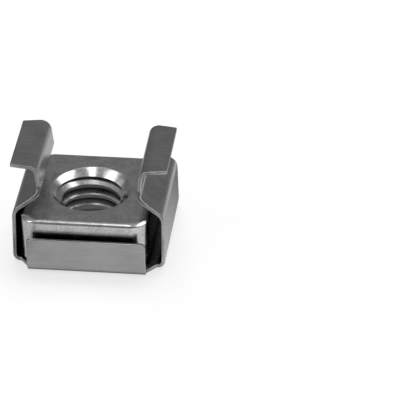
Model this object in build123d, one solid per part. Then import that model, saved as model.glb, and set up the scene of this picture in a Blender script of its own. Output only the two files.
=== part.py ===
from build123d import *
from math import radians, tan
import os

# A cage nut for a square rack hole: a spring steel cage folded from one sheet, and the square
# threaded nut that it traps. Millimetres, +Z up. The origin is the centre of the cage's underside,
# X runs across the two sprung arms and Y across the two plain tabs.

# The rack hole sets the nut, and the nut sets the cage
rack_hole = 9.5             # side of the square hole that the necks pass through
nut_overlap = 0.5           # each side of the nut reaches this far past the hole's edge
hole_play = 0.53            # from the foot of a neck to the hole's edge
lip_hook = 1.65             # how far a lip reaches over the hole's edge
panel_grip = 2.02           # from the foot of a neck up to the lip's underside

# Nut
nut_thickness = 4.15
nut_corner = 1.5            # radius of the upright corners
nut_edge = 0.35             # radius of the top and bottom edges
corner_wear = 0.75          # radius of those edges at the corners, which are worn more
corner_sweep = 1.8          # radius of the corners of the flat top and bottom
wear_start = 0.02           # the corners' wear starts this far outside the straight edges' flats
thread_major = 6.0
thread_pitch = 1.0
sink_widening = 0.7         # the countersink's mouth is this much wider than the thread
sink_slope = 45.0           # degrees

# Room for the loose nut in the cage, and where it lies
side_play = 0.68            # to each arm's wall when the nut is in the middle
end_play = 0.83             # to each tab when the nut is in the middle
left_gap = 0.38             # from the nut to the left wall as it lies
front_gap = 0.43            # from the nut to the front tab as it lies
headroom = 0.06             # from the nut's top to the corner of the wall and the shoulder

# Cage: sheet and base
sheet = 0.32
base_bend = 0.65            # outside radius of the folds round the base
corner_web = 0.9            # leg of the slanting edge between an arm and a tab in the flat blank
screw_room = 1.0            # the base hole is this much wider than the thread

# Cage: front and back tabs
tab_inset = 0.4             # each end of a tab stands in from the nut's side
tab_height = 3.15
tab_corner = 0.35

# Cage: arms, from the wall through the shoulder and the neck to the lip
arm_inset = 0.4             # each edge of a wall stands in from the nut's side
wall_taper = 0.6            # narrowing of each edge from the base to the shoulder
shoulder_slope = 37.0       # degrees above level
shoulder_bend = 1.1         # outside radius
neck_step = 0.6             # narrowing of each edge from the shoulder to the neck
neck_round = 0.4            # radius of both turns of that step
neck_bend = 0.45            # radius on the hollow side
neck_lean = 6.0             # degrees outwards from upright
lip_bend = 0.58             # radius on the hollow side
lip_taper = 0.25            # narrowing of each edge towards the lip's tip
lip_corner = 0.25

nut_side = rack_hole + 2 * nut_overlap
thread_minor = thread_major - 1.0825 * thread_pitch
countersink = thread_major + sink_widening
base_hole = thread_major + screw_room
worn_side = nut_side + 2 * (corner_wear - nut_edge + wear_start)
tab_span = nut_side + 2 * (end_play + sheet)        # over the outer faces of the tabs
tab_width = nut_side - 2 * tab_inset
wall_span = nut_side + 2 * (side_play + sheet)      # over the outer faces of the walls
wall_width = nut_side - 2 * arm_inset
shoulder_width = wall_width - 2 * wall_taper
neck_span = rack_hole - 2 * hole_play               # over the outer faces of the necks' feet
neck_width = shoulder_width - 2 * neck_step
lip_span = rack_hole + 2 * lip_hook
shoulder_height = sheet + nut_thickness + headroom
neck_height = shoulder_height + (wall_span - neck_span) / 2 * tan(radians(shoulder_slope))
lip_under = neck_height + panel_grip
lip_height = lip_under + sheet
neck_top = neck_span / 2 + panel_grip * tan(radians(neck_lean))
margin = 1.0                # how far the cutting shapes stand clear of the sheet


def sheet_section(half_line, radii):
    """Section of the folded sheet: its outer face drawn from the middle outwards, mirrored and
    thickened inwards."""
    mirrored = [(-x, z) for x, z in reversed(half_line)]
    line = FilletPolyline(*mirrored, *half_line, radius=list(reversed(radii)) + list(radii))
    return make_face(Wire(line.edges()).offset_2d(sheet, side=Side.LEFT, closed=True))


def mirrored_outline(half_points):
    """Closed outline that is the same on both sides of the second axis."""
    other_half = [(-x, y) for x, y in reversed(half_points)]
    return make_face(Polyline(*half_points, *other_half, close=True))


def arm_edges():
    """Side view of the arms along X: wall, shoulder and neck, each narrower than the last."""
    points = [(wall_width / 2 + corner_web, -margin), (wall_width / 2 + corner_web, base_bend),
              (wall_width / 2, base_bend), (shoulder_width / 2, neck_height - neck_step / 2),
              (neck_width / 2, neck_height + neck_step / 2), (neck_width / 2, lip_height + margin)]
    outline = mirrored_outline(points)
    turns = [v for v in outline.vertices() if abs(v.Y - neck_height) < neck_step]
    return fillet(turns, neck_round)


def base_plan():
    """Plan of the flat blank round the base: a cross whose inside corners are filled by slants."""
    cross = Rectangle(2 * lip_span, wall_width) + Rectangle(tab_width, 2 * tab_span)
    inside_corners = cross.vertices().sort_by_distance((0, 0))[:4]
    return chamfer(inside_corners, corner_web)


def lip_plan():
    """Plan of the necks and lips: parallel over the bend, then tapering to the tips."""
    edge = [(neck_top + lip_bend, neck_width / 2), (lip_span / 2, neck_width / 2 - lip_taper)]
    plan = mirrored_outline(edge + [(x, -y) for x, y in reversed(edge)])
    tips = plan.vertices().group_by(Axis.X)[0] + plan.vertices().group_by(Axis.X)[-1]
    return fillet(tips, lip_corner)


def cage():
    """Cage: one sheet folded up on four sides of a square base."""
    arm_line = [(wall_span / 2, 0), (wall_span / 2, shoulder_height), (neck_span / 2, neck_height),
                (neck_top, lip_under), (lip_span / 2, lip_under)]
    arm_section = sheet_section(arm_line, [base_bend, shoulder_bend, neck_bend, lip_bend])
    strip = extrude(Plane.XZ * arm_section, wall_width / 2 + corner_web, both=True)
    side_cut = extrude(Plane.YZ * arm_edges(), lip_span, both=True)
    mid_neck = (neck_height + lip_under) / 2
    plan_cut = Pos(0, 0, -margin) * extrude(base_plan(), mid_neck + margin)
    plan_cut += Pos(0, 0, mid_neck) * extrude(lip_plan(), lip_height + margin - mid_neck)
    arms = strip & side_cut & plan_cut

    tab_section = sheet_section([(tab_span / 2, 0), (tab_span / 2, tab_height)], [base_bend])
    tabs = extrude(Plane.YZ * tab_section, tab_width / 2, both=True)
    top_corners = tabs.edges().filter_by(Axis.Y).group_by(Axis.Z)[-1]
    tabs = fillet(top_corners, tab_corner)
    return arms + tabs - Cylinder(base_hole / 2, 4 * sheet)


def rounded_block(side, upright_radius, edge_radius):
    """Square block as thick as the nut, rounded along all its edges."""
    block = Box(side, side, nut_thickness, align=(Align.CENTER, Align.CENTER, Align.MIN))
    block = fillet(block.edges().filter_by(Axis.Z), upright_radius)
    faces = block.edges().group_by(Axis.Z)
    return fillet(faces[0] + faces[-1], edge_radius)


def square_nut():
    """Nut: square block, worn most at its corners, with a hole that is countersunk on both faces.
    The hole's wall is at the thread's minor diameter."""
    block = rounded_block(nut_side, nut_corner, nut_edge)
    block &= rounded_block(worn_side, corner_sweep + corner_wear, corner_wear)
    sink_depth = (countersink - thread_minor) / 2 * tan(radians(sink_slope))
    hole = make_face(Polyline((0, 0), (countersink / 2, 0), (thread_minor / 2, sink_depth),
                              (thread_minor / 2, nut_thickness - sink_depth),
                              (countersink / 2, nut_thickness), (0, nut_thickness), close=True))
    block -= revolve(Plane.XZ * hole, Axis.Z)
    return Pos(left_gap - side_play, front_gap - end_play, sheet) * block


os.makedirs("parts", exist_ok=True)
export_step(cage(), "parts/cage.step")
export_step(square_nut(), "parts/square_nut.step")
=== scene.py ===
from math import cos, pi, radians, tan

import bmesh
import bpy
from mathutils import Euler, Matrix, Vector


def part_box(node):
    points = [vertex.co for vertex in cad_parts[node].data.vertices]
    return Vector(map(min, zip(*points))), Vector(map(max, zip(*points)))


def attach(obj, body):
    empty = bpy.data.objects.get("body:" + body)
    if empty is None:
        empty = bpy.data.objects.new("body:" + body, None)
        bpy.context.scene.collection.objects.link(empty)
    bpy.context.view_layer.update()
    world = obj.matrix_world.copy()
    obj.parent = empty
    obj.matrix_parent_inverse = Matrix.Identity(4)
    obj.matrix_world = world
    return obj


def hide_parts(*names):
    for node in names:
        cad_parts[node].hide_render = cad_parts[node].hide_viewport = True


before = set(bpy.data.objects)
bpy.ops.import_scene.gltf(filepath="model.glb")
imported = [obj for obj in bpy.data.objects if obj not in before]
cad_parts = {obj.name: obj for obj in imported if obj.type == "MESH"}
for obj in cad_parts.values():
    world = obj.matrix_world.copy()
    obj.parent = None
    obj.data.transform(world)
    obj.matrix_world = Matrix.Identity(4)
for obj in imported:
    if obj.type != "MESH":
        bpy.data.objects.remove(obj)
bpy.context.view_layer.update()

# Cage, the flat base
# The cage is one piece of plated spring steel, a third of a millimetre thick, stamped out flat and
# folded up on four sides. Its base is square with slanting corners, and has a round hole for the
# end of the screw.
mm = 0.001                      # shapes are drawn in millimetres and brought to metres when done
sheet = 0.32
cage_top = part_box("cage")[1] / mm
tab_face = cage_top.y
wall_face = 6.25
fold = 0.65                     # outside radius of the folds round the base
wall_width = 4.85               # from the middle to each edge, as are the other widths
tab_width = 4.85
screw_hole = 3.5                # radius
hole_steps = 96
arm_fold = wall_face - fold
tab_fold = tab_face - fold


def is_edge(part):
    """Says whether a part of a bmesh is an edge."""
    return isinstance(part, bmesh.types.BMEdge)


cage = bmesh.new()
corner = [(arm_fold, wall_width), (tab_width, tab_fold)]
octagon = corner + [(-x, y) for x, y in reversed(corner)]
octagon += [(-x, -y) for x, y in corner] + [(x, -y) for x, y in reversed(corner)]
points = [cage.verts.new((x, y, 0)) for x, y in octagon]
for pair in zip(points, points[1:] + points[:1]):
    cage.edges.new(pair)
bmesh.ops.create_circle(cage, segments=hole_steps, radius=screw_hole)
bmesh.ops.triangle_fill(cage, use_beauty=True, edges=cage.edges[:])

# Cage, the two plain tabs
# The front and the back of the base fold straight up into plain tabs that hold the nut in. Their
# top corners are rounded by the stamping die.
tab_top = 3.15
tab_corner = 0.35
up = Vector((0, 0, 1))


def round_corners(shape, corners, radius, segments):
    """Rounds the right-angled corners of a flat outline."""
    bmesh.ops.bevel(shape, geom=corners, offset=radius, segments=segments, profile=0.5,
                    affect="VERTICES", material=-1)


def open_edge(shape, axis, place):
    """Finds the open edge that lies across an axis at that place."""
    return next(e for e in shape.edges if e.is_boundary
                and all(abs(v.co[axis] - place) < 0.001 for v in e.verts))


def bend(shape, edge, heading, hollow, radius, turn, steps):
    """Rolls a strip's open edge round a bend towards its hollow side. Returns the new open edge and
    the new heading and hollow side."""
    axis = heading.cross(hollow)
    middle = (edge.verts[0].co + edge.verts[1].co) / 2
    rolled = bmesh.ops.spin(shape, geom=[edge, *edge.verts], cent=middle + radius * hollow,
                            axis=axis, angle=turn, steps=steps, use_merge=False)
    turned = Matrix.Rotation(turn, 3, axis)
    return next(filter(is_edge, rolled["geom_last"])), turned @ heading, turned @ hollow


def draw_out(shape, edge, heading, length, steps):
    """Draws a strip's open edge straight on in equal steps and returns the new open edge."""
    for _ in range(steps):
        drawn = bmesh.ops.extrude_edge_only(shape, edges=[edge])["geom"]
        ends = [part for part in drawn if isinstance(part, bmesh.types.BMVert)]
        bmesh.ops.translate(shape, vec=heading * length / steps, verts=ends)
        edge = shape.edges.get(ends)
    return edge


for side in (-1, 1):
    edge = open_edge(cage, 1, side * tab_fold)
    edge, heading, hollow = bend(cage, edge, Vector((0, side, 0)), up, fold, radians(90), 10)
    edge = draw_out(cage, edge, heading, tab_top - fold, 1)
    round_corners(cage, list(edge.verts), tab_corner, 8)

# Cage, the two sprung arms
# Each end of the base folds up into a wall, turns in over the nut as a shoulder, rises as a neck
# that passes through the rack hole, and folds out over the rack sheet as a lip. The wall narrows
# a little as it rises, and the shoulder steps in to the narrower neck.
shoulder_height = 4.53          # where the wall's and the shoulder's outer faces would meet
shoulder_slope = radians(37)
shoulder_bend = 1.1             # outside radius
neck_foot = Vector((4.22, 0, 6.0597))
neck_lean = radians(6)
neck_bend = 0.45                # radius on the hollow side, as the lip's is
lip_bend = 0.58
lip_under = cage_top.z - sheet
lip_tip = cage_top.x
shoulder_width = 4.25           # at the top of the taper
neck_width = 3.65
tip_width = 3.4
tip_corner = 0.1
step_low = 5.62                 # heights between which the step runs
step_high = 6.525
neck_top = neck_foot.x + (lip_under - neck_foot.z) * tan(neck_lean)


def arm_width(place):
    """Half the width of an arm's sheet at a point of it."""
    if place.x > neck_top + lip_bend and place.z > lip_under - lip_bend:
        out = (place.x - neck_top - lip_bend) / (lip_tip - neck_top - lip_bend)
        return neck_width + (tip_width - neck_width) * out
    rise = min(1, max(0, (place.z - fold) / (step_low - fold)))
    tapered = wall_width + (shoulder_width - wall_width) * rise
    share = min(1, max(0, (place.z - step_low) / (step_high - step_low)))
    return tapered + (neck_width - tapered) * share * share * (3 - 2 * share)


shoulder_turn = radians(90) - shoulder_slope
neck_turn = radians(90) - shoulder_slope + neck_lean
lip_turn = radians(90) - neck_lean
shoulder_start = shoulder_bend * tan(shoulder_turn / 2)
neck_start = neck_bend * tan(neck_turn / 2)
lip_start = lip_bend * tan(lip_turn / 2)
shoulder_length = (wall_face - neck_foot.x) / cos(shoulder_slope)
neck_length = (lip_under - neck_foot.z) / cos(neck_lean)
for side in (-1, 1):
    before = set(cage.verts)
    edge = open_edge(cage, 0, side * arm_fold)
    edge, heading, hollow = bend(cage, edge, Vector((side, 0, 0)), up, fold, radians(90), 10)
    edge = draw_out(cage, edge, heading, shoulder_height - shoulder_start - fold, 6)
    edge, heading, hollow = bend(cage, edge, heading, hollow, shoulder_bend, shoulder_turn, 12)
    edge = draw_out(cage, edge, heading, shoulder_length - shoulder_start - neck_start, 16)
    edge, heading, hollow = bend(cage, edge, heading, -hollow, neck_bend, neck_turn, 12)
    edge = draw_out(cage, edge, heading, neck_length - neck_start - lip_start, 10)
    edge, heading, hollow = bend(cage, edge, heading, hollow, lip_bend, lip_turn, 16)
    edge = draw_out(cage, edge, heading, lip_tip - neck_top - lip_start, 2)
    for vert in set(cage.verts) - before:
        width = arm_width(Vector((abs(vert.co.x), 0, vert.co.z)))
        bmesh.ops.scale(cage, vec=(1, width / wall_width, 1), verts=[vert])
    round_corners(cage, list(edge.verts), tip_corner, 6)

# Cage, the finished sheet
# The blank has its thickness on the inside of the folds. Shearing leaves its cut edges duller and
# darker than its faces, and tumbling rounds them slightly, so they catch the light as thin lines.
cut_edge = 0.08


def as_object(name, shape):
    """Makes an object of that name from a bmesh."""
    mesh = bpy.data.meshes.new(name)
    shape.to_mesh(mesh)
    shape.free()
    piece = bpy.data.objects.new(name, mesh)
    bpy.context.scene.collection.objects.link(piece)
    return piece


def smooth_shade(piece, angle):
    """Shades a piece smooth but for its sharper edges, and keeps its flat faces flat."""
    mesh = piece.data
    mesh.transform(Matrix.Scale(mm, 4))
    mesh.polygons.foreach_set("use_smooth", [True] * len(mesh.polygons))
    mesh.set_sharp_from_angle(angle=angle)
    weighted = piece.modifiers.new("even shading", "WEIGHTED_NORMAL")
    weighted.keep_sharp = True


bmesh.ops.remove_doubles(cage, verts=cage.verts, dist=0.0001)
bmesh.ops.recalc_face_normals(cage, faces=cage.faces)
under = min(cage.faces, key=lambda face: face.calc_center_median().length)
if under.normal.z > 0:
    bmesh.ops.reverse_faces(cage, faces=cage.faces)
sheared = cage.faces.layers.float.new("sheared")
one_side = set(cage.verts)
bmesh.ops.solidify(cage, geom=cage.faces[:], thickness=sheet)
for face in cage.faces:
    face[sheared] = 0 < len(one_side.intersection(face.verts)) < len(face.verts)
cut_edges = [e for e in cage.edges if e.calc_face_angle(0) > radians(50)]
rounded = bmesh.ops.bevel(cage, geom=cut_edges, offset=cut_edge, segments=3, profile=0.5,
                          affect="EDGES", material=-1)
for face in rounded["faces"]:
    face[sheared] = 0
folded_cage = as_object("folded_cage", cage)
smooth_shade(folded_cage, radians(40))

# Cage steel
# The sheet is rolled spring steel with a thin bright plating. Its rolling lines run along the blank
# from lip to lip, so they run up the arms and across the tabs.
steel_dark = (0.39, 0.39, 0.39, 1)
steel_light = (0.50, 0.50, 0.50, 1)
low_shade_reach = 2.0 * mm             # painted shade darkens surfaces closer than this to each other beside the nut
high_shade_reach = 0.3 * mm            # and above it


def add_node(tree, kind, inputs=(), **settings):
    """Adds a node, sets its settings, and links or sets its inputs."""
    node = tree.nodes.new(kind)
    for name, value in settings.items():
        setattr(node, name, value)
    for name, value in dict(inputs).items():
        if isinstance(value, bpy.types.NodeSocket):
            tree.links.new(value, node.inputs[name])
        else:
            node.inputs[name].default_value = value
    return node


def new_material(name):
    """Starts a material and returns it with its node tree and its shader."""
    material = bpy.data.materials.new(name)
    material.use_nodes = True
    tree = material.node_tree
    return material, tree, tree.nodes["Principled BSDF"]


def math(tree, operation, first, second=0.0):
    """Adds a Math node and returns its result."""
    return add_node(tree, "ShaderNodeMath", {0: first, 1: second}, operation=operation).outputs[0]


def spread(tree, value, low, high, to_low, to_high):
    """Maps a value from one range to another and returns it."""
    return add_node(tree, "ShaderNodeMapRange", {"Value": value, "From Min": low, "From Max": high,
                                                 "To Min": to_low, "To Max": to_high}).outputs[0]


def paint_nook_shade(tree, colour, reach):
    """Paints shade into a colour where other surfaces closer than the reach hem it in, and returns
    it.
    """
    openness = add_node(tree, "ShaderNodeAmbientOcclusion", {"Distance": reach}, samples=8)
    light = spread(tree, openness.outputs["AO"], 0.25, 0.55, 0.03, 1.0)
    return add_node(tree, "ShaderNodeVectorMath", {0: colour, "Scale": light},
                    operation="SCALE").outputs["Vector"]


rolled_steel, tree, shader = new_material("rolled_spring_steel")
place = add_node(tree, "ShaderNodeTexCoord").outputs["Object"]
x, y, z = add_node(tree, "ShaderNodeSeparateXYZ", {0: place}).outputs
normal = add_node(tree, "ShaderNodeNewGeometry").outputs["True Normal"]
facing_y = math(tree, "ABSOLUTE", add_node(tree, "ShaderNodeSeparateXYZ", {0: normal}).outputs["Y"])
on_tab = math(tree, "GREATER_THAN", facing_y, 0.7)
across = add_node(tree, "ShaderNodeMix", {0: on_tab, 2: y, 3: z}).outputs[0]
along = add_node(tree, "ShaderNodeMix", {0: on_tab, 2: z, 3: y}).outputs[0]
on_blank = add_node(tree, "ShaderNodeCombineXYZ", {0: math(tree, "MULTIPLY", x, 250),
                                                   1: math(tree, "MULTIPLY", across, 9000),
                                                   2: math(tree, "MULTIPLY", along, 250)})
lines = add_node(tree, "ShaderNodeTexNoise", {"Vector": on_blank.outputs[0], "Scale": 1.0,
                                              "Detail": 5.0, "Roughness": 0.6}).outputs[0]
clouds = add_node(tree, "ShaderNodeTexNoise", {"Vector": place, "Scale": 450.0, "Detail": 4.0,
                                               "Roughness": 0.55}).outputs[0]
tone = math(tree, "ADD", math(tree, "MULTIPLY", lines, 0.5), math(tree, "MULTIPLY", clouds, 0.5))
colour = add_node(tree, "ShaderNodeMix", {0: spread(tree, tone, 0.35, 0.65, 0, 1), 6: steel_dark,
                                          7: steel_light}, data_type="RGBA").outputs[2]
edge = add_node(tree, "ShaderNodeAttribute", attribute_name="sheared").outputs["Fac"]
shear = add_node(tree, "ShaderNodeTexNoise", {"Vector": place, "Scale": 260.0, "Detail": 4.0,
                                              "Roughness": 0.6}).outputs[0]
sheared_tone = spread(tree, shear, 0.35, 0.65, 0.35, 1.1)
dull = add_node(tree, "ShaderNodeMix", {0: edge, 2: 1.0, 3: sheared_tone})
dulled = add_node(tree, "ShaderNodeVectorMath", {0: colour, "Scale": dull.outputs[0]},
                  operation="SCALE").outputs["Vector"]
# Painted shade: the colour darkens where surfaces hem each other in, far beside the nut and close
# above it.
nook = spread(tree, z, 4.3 * mm, 4.9 * mm, low_shade_reach, high_shade_reach)
tree.links.new(paint_nook_shade(tree, dulled, nook), shader.inputs["Base Color"])
roughness = math(tree, "ADD", spread(tree, tone, 0.3, 0.7, 0.22, 0.34),
                 math(tree, "MULTIPLY", edge, 0.05))
tree.links.new(roughness, shader.inputs["Roughness"])
shader.inputs["Metallic"].default_value = 1.0
bump = add_node(tree, "ShaderNodeBump", {"Strength": 1.0, "Distance": 0.0012 * mm,
                                         "Height": lines}).outputs[0]
tree.links.new(bump, shader.inputs["Normal"])
folded_cage.data.materials.append(rolled_steel)
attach(folded_cage, "root")
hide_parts("cage")

# Nut blank
# The nut is a square of cold-formed steel. Tumbling has worn all its edges round, most of all at
# the corners. It is drilled and countersunk at 45 degrees from both sides.
nut_low, nut_high = (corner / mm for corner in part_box("square_nut"))
nut_middle = (nut_low + nut_high) / 2
upright_corner = 1.5
worn_edge = 0.35
corner_wear = 0.75              # radius of the same edges at the corners
corner_sweep = 1.8              # radius of the corners of the flat top and bottom
wear_start = 0.02               # the corners' wear starts this far outside the other edges' flats
skim = 0.002                    # keeps the wear's shape off the flat top and bottom
sink_mouth = 3.35               # radius
sink_break = 0.07
drill = 2.4                     # radius, a little under the thread's crests
beyond = 1.0                    # how far a cutting tool stands clear of the nut
tool_steps = 128                # steps of a cutting tool in one turn
past_mouth = 4.0                # the countersinks' mouths lie within this radius


def is_upright(edge):
    """Says whether an edge runs along Z."""
    run = edge.verts[0].co - edge.verts[1].co
    return abs(run.z) > abs(run.x) + abs(run.y)


def turned_tool(profile, rise, steps):
    """Spins a profile round Z into a closed cutting tool, and lifts it by the rise in one turn."""
    tool = bmesh.new()
    points = [tool.verts.new((radius, 0, height)) for radius, height in profile]
    lines = [tool.edges.new(pair) for pair in zip(points, points[1:])]
    bmesh.ops.spin(tool, geom=points + lines, cent=(0, 0, 0), axis=(0, 0, 1), angle=2 * pi,
                   dvec=(0, 0, rise / steps), steps=steps, use_merge=rise == 0)
    bmesh.ops.remove_doubles(tool, verts=tool.verts, dist=0.0005)
    bmesh.ops.holes_fill(tool, edges=[e for e in tool.edges if e.is_boundary], sides=0)
    bmesh.ops.recalc_face_normals(tool, faces=tool.faces)
    return tool


def machine(piece, tool, operation="DIFFERENCE"):
    """Cuts a tool's shape out of a piece, or keeps only what is inside it."""
    cutter = as_object("cutter", tool)
    cut = piece.modifiers.new("cut", "BOOLEAN")
    cut.operation = operation
    cut.solver = "EXACT"
    cut.object = cutter
    graph = bpy.context.evaluated_depsgraph_get()
    piece.data = bpy.data.meshes.new_from_object(piece.evaluated_get(graph))
    piece.modifiers.clear()
    bpy.data.objects.remove(cutter)


def open_mesh(piece):
    """Gives a piece's mesh as a bmesh."""
    shape = bmesh.new()
    shape.from_mesh(piece.data)
    return shape


def close_mesh(piece, shape):
    """Writes a bmesh back to its piece."""
    shape.to_mesh(piece.data)
    shape.free()


def rounded_block(size, corner_radius, edge_radius):
    """Makes a block that is rounded along all its edges."""
    block = bmesh.new()
    bmesh.ops.create_cube(block, size=1)
    bmesh.ops.scale(block, vec=size, verts=block.verts)
    bmesh.ops.bevel(block, geom=[e for e in block.edges if is_upright(e)], offset=corner_radius,
                    segments=20, profile=0.5, affect="EDGES", material=-1)
    rims = [e for e in block.edges if not is_upright(e)]
    bmesh.ops.bevel(block, geom=rims, offset=edge_radius, segments=10, profile=0.5,
                    affect="EDGES", material=-1)
    return block


nut_size = nut_high - nut_low
half = nut_size.z / 2
threaded_nut = as_object("threaded_nut", rounded_block(nut_size, upright_corner, worn_edge))
outside = corner_wear - worn_edge + wear_start
worn_size = nut_size + 2 * Vector((outside, outside, skim))
worn_block = rounded_block(worn_size, corner_sweep + corner_wear, corner_wear)
machine(threaded_nut, worn_block, "INTERSECT")
waist = half - (sink_mouth - drill)
drill_profile = [(0, -half - beyond), (sink_mouth + beyond, -half - beyond), (drill, -waist),
                 (drill, waist), (sink_mouth + beyond, half + beyond), (0, half + beyond)]
machine(threaded_nut, turned_tool(drill_profile, 0, tool_steps))
drilled = open_mesh(threaded_nut)
mouths = [e for e in drilled.edges
          if all(abs(abs(v.co.z) - half) < 0.001 and v.co.xy.length < past_mouth
                 for v in e.verts)]
bmesh.ops.bevel(drilled, geom=mouths, offset=sink_break, segments=3, profile=0.5,
                affect="EDGES", material=-1)
close_mesh(threaded_nut, drilled)

# Nut thread
# A tap cuts the M6 thread right through. The crests and roots are flat, and the first turns run out
# into the countersinks as thin ridges.
thread_radius = 3.0
thread_pitch = 1.0
crest_radius = thread_radius - 0.5413 * thread_pitch
root_flat = thread_pitch / 8
crest_flat = thread_pitch / 4
flank = (thread_pitch - root_flat - crest_flat) / 2
turns = 8
crest_depth = 0.29              # from the nut's top to the middle of the first crest, at the back

ridge = [(thread_radius, 0), (thread_radius, root_flat), (crest_radius, root_flat + flank),
         (crest_radius, root_flat + flank + crest_flat)]
tap_profile = [(0, 0)]
for turn in range(turns):
    tap_profile += [(radius, height + turn * thread_pitch) for radius, height in ridge]
tap_profile += [(0, tap_profile[-1][1])]
tap = turned_tool(tap_profile, thread_pitch, tool_steps)
back_crest = (turns - 2 + 0.25) * thread_pitch + root_flat + flank + crest_flat / 2
bmesh.ops.translate(tap, vec=(0, 0, half - crest_depth - back_crest), verts=tap.verts)
machine(threaded_nut, tap)
tapped = open_mesh(threaded_nut)
bmesh.ops.dissolve_degenerate(tapped, edges=tapped.edges, dist=0.001)
close_mesh(threaded_nut, tapped)
threaded_nut.data.transform(Matrix.Translation(nut_middle))
smooth_shade(threaded_nut, radians(30))

# Nut steel
# The nut has the same kind of bright plating on a smoother surface, clouded by tumbling.
nut_dark = (0.50, 0.50, 0.51, 1)
nut_light = (0.71, 0.71, 0.72, 1)
side_shade_reach = 3.0 * mm            # painted shade reaches far on its sides, which lie deep in the cage
top_shade_reach = 0.3 * mm
hole_shade_reach = 0.8 * mm
plated_nut, tree, shader = new_material("plated_nut_steel")
place = add_node(tree, "ShaderNodeTexCoord").outputs["Object"]
clouds = add_node(tree, "ShaderNodeTexNoise", {"Vector": place, "Scale": 1100.0, "Detail": 5.0,
                                               "Roughness": 0.6}).outputs[0]
grain = add_node(tree, "ShaderNodeTexNoise", {"Vector": place, "Scale": 9000.0, "Detail": 3.0,
                                              "Roughness": 0.6}).outputs[0]
tone = math(tree, "ADD", math(tree, "MULTIPLY", clouds, 0.4), math(tree, "MULTIPLY", grain, 0.6))
colour = add_node(tree, "ShaderNodeMix", {0: spread(tree, tone, 0.4, 0.6, 0, 1), 6: nut_dark,
                                          7: nut_light}, data_type="RGBA").outputs[2]
normal = add_node(tree, "ShaderNodeNewGeometry").outputs["True Normal"]
normal_z = add_node(tree, "ShaderNodeSeparateXYZ", {0: normal}).outputs["Z"]
facing_up = math(tree, "ABSOLUTE", normal_z)
outer_reach = spread(tree, facing_up, 0.3, 0.7, side_shade_reach, top_shade_reach)
from_axis = add_node(tree, "ShaderNodeVectorMath", {0: place, 1: nut_middle * mm},
                     operation="SUBTRACT")
across = add_node(tree, "ShaderNodeVectorMath", {0: from_axis.outputs[0], 1: (1, 1, 0)},
                  operation="MULTIPLY").outputs[0]
radius = add_node(tree, "ShaderNodeVectorMath", {0: across}, operation="LENGTH").outputs["Value"]
# Painted shade: the colour darkens where surfaces hem each other in, in the thread and on the
# sides.
reach = spread(tree, radius, 3.4 * mm, 4 * mm, hole_shade_reach, outer_reach)
tree.links.new(paint_nook_shade(tree, colour, reach), shader.inputs["Base Color"])
tree.links.new(spread(tree, clouds, 0.3, 0.7, 0.16, 0.27), shader.inputs["Roughness"])
shader.inputs["Metallic"].default_value = 1.0
bump = add_node(tree, "ShaderNodeBump", {"Strength": 1.0, "Distance": 0.001 * mm,
                                         "Height": grain}).outputs[0]
tree.links.new(bump, shader.inputs["Normal"])
threaded_nut.data.materials.append(plated_nut)
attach(threaded_nut, "root")
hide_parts("square_nut")

# A plain white floor. The camera sees it white, with the soft shadow of the nut on it and a
# painted grey shadow in the nut's hole. Metal mirrors a painted glow of the floor instead: pale
# near the nut, darker further out, with painted shadows under the nut, close beside its right
# wall, at its front left corner and on its left.
white = (1, 1, 1, 1)
floor_half = 3000
floor_drop = 0.02               # keeps the floor clear of the cage's underside
hole_shade_edge = 3.6 * mm            # the painted shadow in the nut's hole fades out between these radii
hole_shade_end = 4.4 * mm
floor_shape = bmesh.new()
bmesh.ops.create_grid(floor_shape, x_segments=1, y_segments=1, size=floor_half)
bmesh.ops.translate(floor_shape, vec=(0, 0, -floor_drop), verts=floor_shape.verts)
floor = as_object("floor", floor_shape)
floor.data.transform(Matrix.Scale(mm, 4))
white_floor, tree, shader = new_material("white_floor")
rays = add_node(tree, "ShaderNodeLightPath").outputs
place = add_node(tree, "ShaderNodeTexCoord").outputs["Object"]
x, y, z = add_node(tree, "ShaderNodeSeparateXYZ", {0: place}).outputs
from_hole = add_node(tree, "ShaderNodeVectorMath", {0: place}, operation="LENGTH").outputs["Value"]
# Painted light: metal mirrors a glow of the floor's own, fading with distance from the nut.
near = spread(tree, from_hole, 12 * mm, 90 * mm, 1.0, 0.2)
# Painted shadow under the nut, where the thread mirrors the floor through the hole.
under = spread(tree, from_hole, hole_shade_edge, hole_shade_end, 0.22, 1.0)
# Painted light: the glow is brighter on the right.
right = spread(tree, x, 4.5 * mm, 7.0 * mm, 0.61, 0.8)
# Painted shadows: the glow is darkened close beside the right wall, at the front left corner and on
# the left.
off_wall = math(tree, "ABSOLUTE", math(tree, "SUBTRACT", x, 7.5 * mm))
wall_shadow = math(tree, "MULTIPLY", spread(tree, off_wall, 2 * mm, 4 * mm, 0.7, 0),
              spread(tree, y, -5 * mm, 9 * mm, 0, 1))
off_corner = math(tree, "ABSOLUTE", math(tree, "ADD", x, 7.0 * mm))
corner = math(tree, "MULTIPLY", spread(tree, off_corner, 1 * mm, 2 * mm, 0.5, 0),
              spread(tree, y, -7 * mm, -8 * mm, 0, 1))
left_shadow = math(tree, "MULTIPLY", spread(tree, x, -5 * mm, -7 * mm, 0, 0.57),
            spread(tree, y, -1 * mm, 4 * mm, 0, 1))
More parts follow.
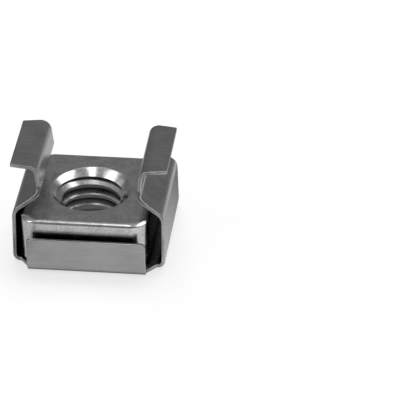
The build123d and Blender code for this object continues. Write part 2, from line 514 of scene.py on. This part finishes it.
# Painted light: the glow is brighter behind and far in front.
behind = spread(tree, y, 9 * mm, 13 * mm, 1.0, 1.2)
ahead = spread(tree, y, -11 * mm, -12.5 * mm, 1.0, 1.3)
painted_glow = math(tree, "MULTIPLY", math(tree, "MULTIPLY", near, under),
            math(tree, "MULTIPLY", right, behind))
in_front = math(tree, "SUBTRACT", ahead, math(tree, "ADD", wall_shadow, corner))
painted_glow = math(tree, "MULTIPLY", painted_glow, in_front)
painted_glow = math(tree, "MULTIPLY", painted_glow, math(tree, "SUBTRACT", 1.0, left_shadow))
painted_mirror_glow = add_node(tree, "ShaderNodeEmission", {"Color": white, "Strength": painted_glow}).outputs[0]
faint = add_node(tree, "ShaderNodeBsdfDiffuse", {"Color": (0.2, 0.2, 0.2, 1)}).outputs[0]
# Painted shadow: the floor's glow for the camera is turned down to grey inside the nut's hole.
outside = spread(tree, from_hole, hole_shade_edge, hole_shade_end, 0.04, 0.71)
glow = add_node(tree, "ShaderNodeEmission", {"Color": white, "Strength": outside}).outputs[0]
lit = add_node(tree, "ShaderNodeAddShader", {0: faint, 1: glow}).outputs[0]
mixed = add_node(tree, "ShaderNodeMixShader",
                 {0: rays["Is Camera Ray"], 1: painted_mirror_glow, 2: lit}).outputs[0]
tree.links.new(mixed, tree.nodes["Material Output"].inputs["Surface"])
floor.data.materials.append(white_floor)

# Lamps
# A narrow soft box above the front, and a large one on each side. One high behind lights only the
# floor, for the soft shadow in front.
lamp_distance = 0.6


def soft_box(name, azimuth, elevation, width, height, glow):
    """Places a soft box that faces the object, by its radiance. Azimuth 0 is in front."""
    lamp = bpy.data.lights.new(name, "AREA")
    lamp.shape = "RECTANGLE"
    lamp.size = width
    lamp.size_y = height
    lamp.energy = glow * pi * width * height
    holder = bpy.data.objects.new(name, lamp)
    bpy.context.scene.collection.objects.link(holder)
    turn = Euler((radians(90 - elevation), 0, radians(azimuth)), "XYZ")
    holder.rotation_euler = turn
    holder.location = turn.to_matrix() @ Vector((0, 0, lamp_distance))
    holder.visible_camera = False
    return holder


soft_box("front_box", 1, 68, 0.14, 0.36, 2.5)
soft_box("right_box", 103, 46, 0.38, 0.36, 2.1)
soft_box("left_box", -66, 38, 0.34, 0.36, 1.9)
back_box = soft_box("back_box", 180, 57, 0.4, 0.36, 8.8)
back_box.visible_glossy = False

# World
# White to the camera. Metal mirrors a grey studio that is lightest overhead, and a little lighter
# low down on the right.
world = bpy.data.worlds.new("studio")
bpy.context.scene.world = world
world.use_nodes = True
tree = world.node_tree
rays = add_node(tree, "ShaderNodeLightPath").outputs
direct = math(tree, "MAXIMUM", rays["Is Camera Ray"], rays["Is Transmission Ray"])
look = add_node(tree, "ShaderNodeTexCoord").outputs["Generated"]
direction = add_node(tree, "ShaderNodeSeparateXYZ", {0: look}).outputs
height = direction["Z"]
room = math(tree, "ADD", spread(tree, height, 0.55, 0.9, 0.2, 0.4),
            spread(tree, height, 0.93, 1.0, 0, 0.3))
low = math(tree, "MULTIPLY", spread(tree, height, 0.05, 0.22, 0.07, 0),
           spread(tree, direction["X"], 0.1, 0.4, 0, 1))
room = math(tree, "ADD", room, low)
strength = add_node(tree, "ShaderNodeMix", {0: direct, 2: room, 3: 1.0}).outputs[0]
background = tree.nodes["Background"]
background.inputs["Color"].default_value = white
tree.links.new(strength, background.inputs["Strength"])

# Camera
# It stands a quarter of a metre in front, a little to the right, and looks down on the nut.
view = bpy.data.cameras.new("camera")
view.sensor_width = 36.0
view.lens = 279.6424
view.clip_start = 0.001
camera = bpy.data.objects.new("camera", view)
bpy.context.scene.collection.objects.link(camera)
camera.location = Vector((34.7581, -212.2702, 141.7515)) * mm
camera.rotation_euler = Euler((radians(57.13783), radians(0.84684), radians(6.47448)), "XYZ")
bpy.context.scene.camera = camera
bpy.context.scene.view_settings.view_transform = "Standard"
